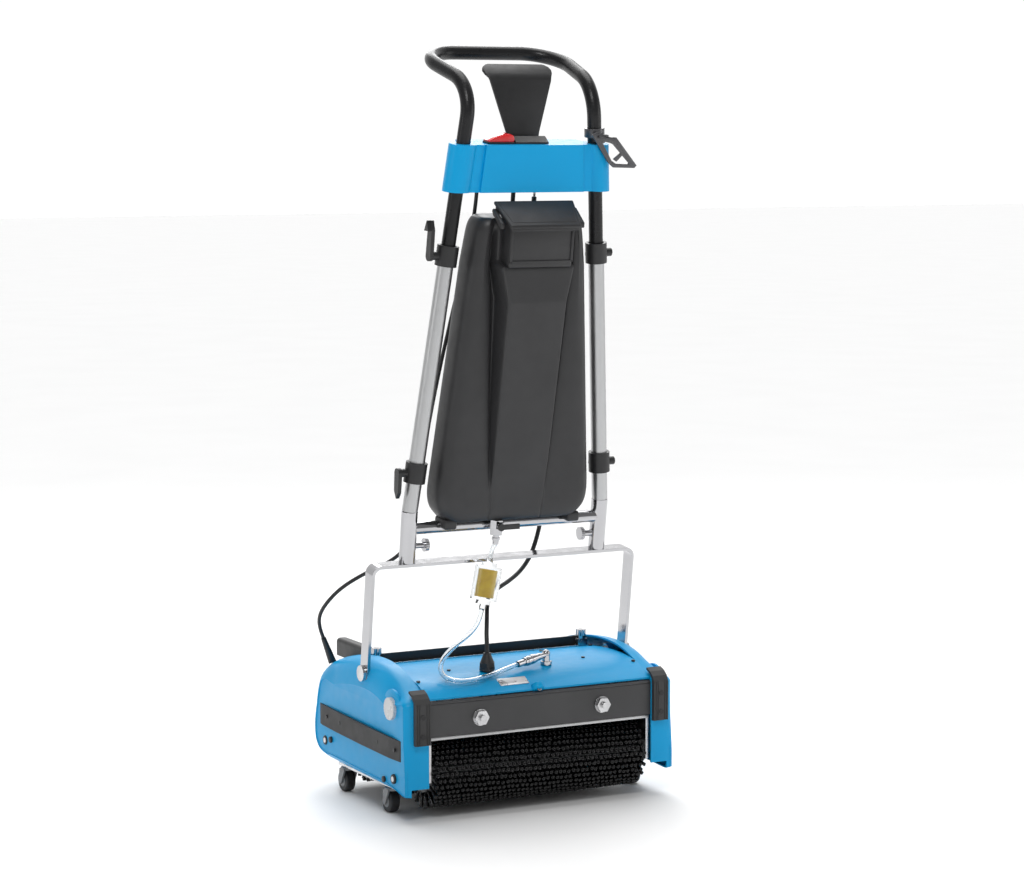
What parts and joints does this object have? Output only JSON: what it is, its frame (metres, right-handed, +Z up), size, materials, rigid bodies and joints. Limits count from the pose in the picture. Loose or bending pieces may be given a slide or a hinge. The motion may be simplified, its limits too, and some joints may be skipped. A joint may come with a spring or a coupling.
{
  "type": "wet dry floor scrubber",
  "caption": "Upright twin-brush floor scrubber: low base with two rotating brushes and castors, tilting handle with a dark solution tank.",
  "frame": {"origin": "on the floor, under the middle of the base", "axes": "+Z up, -Y towards the front brush, +X to the right seen from the front"},
  "size_m": [0.4949, 0.3637, 1.1842],
  "materials": {
    "blue_plastic": "moulded, satin gloss",
    "black_plastic": "fine-grained moulded",
    "charcoal_plastic": "smooth satin",
    "tank_plastic": "rotation-moulded, fine grain",
    "chrome": "polished",
    "steel": "zinc plated",
    "aluminium": "satin anodised",
    "black_metal": "gloss powder coat",
    "rubber": "matt",
    "tyre": "matt",
    "grey_plastic": "satin",
    "bristle": "nylon",
    "knob_white": "knurled",
    "clear": "clear moulded",
    "yellow": "mesh insert",
    "red": "gloss",
    "cable": "PVC sheath",
    "gunmetal": "satin"
  },
  "bodies": {
    "base": {"base_frame": "steel", "front_plate": "charcoal_plastic", "rear_plate": "black_plastic", "corner_strips": "rubber", "top_cover": "blue_plastic", "side_cover_left": "blue_plastic", "side_cover_right": "blue_plastic", "bumpers": "rubber", "cover_fasteners": "steel", "pivot_bolts": "steel", "cable_gland": "black_plastic", "hose_elbow": "chrome", "motor": "black_metal", "drive_belt": "rubber", "quick_coupling": "chrome", "motor_cable": "cable", "brush_lead": "cable", "lead_boot": "cable"},
    "front_brush": {"front_brush_core": "grey_plastic", "front_bristles": "bristle"},
    "rear_brush": {"rear_brush_core": "grey_plastic", "rear_bristles": "bristle"},
    "drum": {"pickup_drum": "black_plastic"},
    "motor_shaft": {"motor_pulley": "steel"},
    "recovery": {"recovery_tank": "black_plastic"},
    "handle": {"bail": "chrome", "tube_sockets": "chrome", "lower_tubes": "aluminium", "handle_loop": "black_metal", "collars": "black_plastic", "console": "blue_plastic", "console_back": "black_plastic", "solution_tank": "tank_plastic", "valve_body": "chrome", "upper_hose": "clear", "filter_housing": "clear", "filter_insert": "yellow", "lower_hose": "clear"},
    "hook_upper": {"cable_hook_upper": "black_plastic"},
    "hook_lower": {"cable_hook_lower": "black_plastic"},
    "switch": {"red_switch": "red"},
    "latch": {"thumb_latch": "black_plastic"},
    "paddle": {"deadman_paddle": "black_plastic"},
    "keeper": {"cord_keeper": "gunmetal"},
    "lid": {"tank_lid": "tank_plastic"},
    "valve": {"valve_lever": "black_plastic"},
    "castor_front_left": {"castor_fork_front_left": "grey_plastic"},
    "wheel_front_left": {"castor_wheel_front_left": "tyre"},
    "castor_rear_left": {"castor_fork_rear_left": "grey_plastic"},
    "wheel_rear_left": {"castor_wheel_rear_left": "tyre"},
    "star_knob_left": {"star_knob_left": "chrome"},
    "side_knob_left": {"side_knob_left": "knob_white"},
    "lock_knob_left": {"lock_knob_left": "chrome"},
    "castor_front_right": {"castor_fork_front_right": "grey_plastic"},
    "wheel_front_right": {"castor_wheel_front_right": "tyre"},
    "castor_rear_right": {"castor_fork_rear_right": "grey_plastic"},
    "wheel_rear_right": {"castor_wheel_rear_right": "tyre"},
    "star_knob_right": {"star_knob_right": "chrome"},
    "side_knob_right": {"side_knob_right": "knob_white"},
    "lock_knob_right": {"lock_knob_right": "chrome"}
  },
  "joints": [
    {"name": "handle_tilt", "type": "hinge", "parent": "base", "child": "handle", "pos_m": [0, -0.01617, 0.20995], "axis": [-1, 0, 0], "range_deg": [0, 65], "deforming": ["motor_cable", "brush_lead", "lower_hose", "upper_hose"]},
    {"name": "front_brush_spin", "type": "hinge", "parent": "base", "child": "front_brush", "pos_m": [0, -0.1205, 0.067], "axis": [1, 0, 0], "continuous": true},
    {"name": "rear_brush_spin", "type": "hinge", "parent": "base", "child": "rear_brush", "pos_m": [0, 0.0895, 0.067], "axis": [1, 0, 0], "continuous": true},
    {"name": "drum_spin", "type": "hinge", "parent": "base", "child": "drum", "pos_m": [0, -0.0155, 0.067], "axis": [1, 0, 0], "continuous": true},
    {"name": "motor_spin", "type": "hinge", "parent": "base", "child": "motor_shaft", "pos_m": [0, -0.0205, 0.168], "axis": [1, 0, 0], "continuous": true},
    {"name": "recovery_lift", "type": "slide", "parent": "base", "child": "recovery", "axis": [0, 0, 1], "range_m": [0, 0.05]},
    {"name": "castor_swivel_front_left", "type": "hinge", "parent": "base", "child": "castor_front_left", "pos_m": [-0.216, -0.0835, 0.042], "axis": [0, 0, 1], "continuous": true},
    {"name": "wheel_spin_front_left", "type": "hinge", "parent": "castor_front_left", "child": "wheel_front_left", "pos_m": [-0.216, -0.0755, 0.018], "axis": [1, 0, 0], "continuous": true},
    {"name": "castor_swivel_rear_left", "type": "hinge", "parent": "base", "child": "castor_rear_left", "pos_m": [-0.216, 0.0795, 0.042], "axis": [0, 0, 1], "continuous": true},
    {"name": "wheel_spin_rear_left", "type": "hinge", "parent": "castor_rear_left", "child": "wheel_rear_left", "pos_m": [-0.216, 0.0875, 0.018], "axis": [1, 0, 0], "continuous": true},
    {"name": "star_knob_turn_left", "type": "hinge", "parent": "base", "child": "star_knob_left", "pos_m": [-0.186, 0.0385, 0.22], "axis": [0, 0, 1], "range_deg": [0, 270]},
    {"name": "side_knob_turn_left", "type": "hinge", "parent": "base", "child": "side_knob_left", "pos_m": [-0.23, -0.1185, 0.172], "axis": [1, 0, 0], "range_deg": [0, 270]},
    {"name": "lock_knob_turn_left", "type": "hinge", "parent": "handle", "child": "lock_knob_left", "pos_m": [-0.15, -0.0431, 0.40914], "axis": [1, 0, 0], "range_deg": [0, 270]},
    {"name": "castor_swivel_front_right", "type": "hinge", "parent": "base", "child": "castor_front_right", "pos_m": [0.216, -0.0835, 0.042], "axis": [0, 0, 1], "continuous": true},
    {"name": "wheel_spin_front_right", "type": "hinge", "parent": "castor_front_right", "child": "wheel_front_right", "pos_m": [0.216, -0.0755, 0.018], "axis": [1, 0, 0], "continuous": true},
    {"name": "castor_swivel_rear_right", "type": "hinge", "parent": "base", "child": "castor_rear_right", "pos_m": [0.216, 0.0795, 0.042], "axis": [0, 0, 1], "continuous": true},
    {"name": "wheel_spin_rear_right", "type": "hinge", "parent": "castor_rear_right", "child": "wheel_rear_right", "pos_m": [0.216, 0.0875, 0.018], "axis": [1, 0, 0], "continuous": true},
    {"name": "star_knob_turn_right", "type": "hinge", "parent": "base", "child": "star_knob_right", "pos_m": [0.186, 0.0385, 0.22], "axis": [0, 0, 1], "range_deg": [0, 270]},
    {"name": "side_knob_turn_right", "type": "hinge", "parent": "base", "child": "side_knob_right", "pos_m": [0.23, -0.1185, 0.172], "axis": [1, 0, 0], "range_deg": [0, 270]},
    {"name": "lock_knob_turn_right", "type": "hinge", "parent": "handle", "child": "lock_knob_right", "pos_m": [0.15, -0.0431, 0.40914], "axis": [1, 0, 0], "range_deg": [0, 270]},
    {"name": "hook_upper_turn", "type": "hinge", "parent": "handle", "child": "hook_upper", "pos_m": [-0.16, -0.10433, 0.86202], "axis": [1, 0, 0], "range_deg": [0, 180]},
    {"name": "hook_lower_turn", "type": "hinge", "parent": "handle", "child": "hook_lower", "pos_m": [-0.19246, -0.05891, 0.52608], "axis": [1, 0, 0], "range_deg": [0, 180]},
    {"name": "switch_press", "type": "hinge", "parent": "handle", "child": "switch", "pos_m": [-0.074, -0.1258, 1.03571], "axis": [0, 0.991, 0.134], "range_deg": [0, 6], "stiffness_Nm_per_rad": 0.4, "springref_deg": -5.73},
    {"name": "latch_slide", "type": "slide", "parent": "handle", "child": "latch", "axis": [0, -0.991, -0.134], "range_m": [0, 0.006], "stiffness_N_per_m": 300, "springref_m": -0.002},
    {"name": "paddle_pull", "type": "hinge", "parent": "handle", "child": "paddle", "pos_m": [0, -0.10125, 1.03701], "axis": [-1, 0, 0], "range_deg": [0, 12], "stiffness_Nm_per_rad": 3, "springref_deg": -8.59},
    {"name": "keeper_swing", "type": "hinge", "parent": "handle", "child": "keeper", "pos_m": [0.1129, -0.12966, 1.04932], "axis": [-0.0953, -0.1334, 0.9865], "range_deg": [-10, 60]},
    {"name": "lid_open", "type": "hinge", "parent": "handle", "child": "lid", "pos_m": [0, -0.14149, 0.94277], "axis": [-1, 0, 0], "range_deg": [0, 88]},
    {"name": "valve_turn", "type": "hinge", "parent": "handle", "child": "valve", "pos_m": [-0.026, -0.0828, 0.43405], "axis": [0, 0.991, 0.134], "range_deg": [0, 90]}
  ],
  "couplings": [
    {"joint": "rear_brush_spin", "follows": "front_brush_spin", "ratio": 1},
    {"joint": "drum_spin", "follows": "front_brush_spin", "ratio": 1},
    {"joint": "motor_spin", "follows": "front_brush_spin", "ratio": 1.4545}
  ]
}
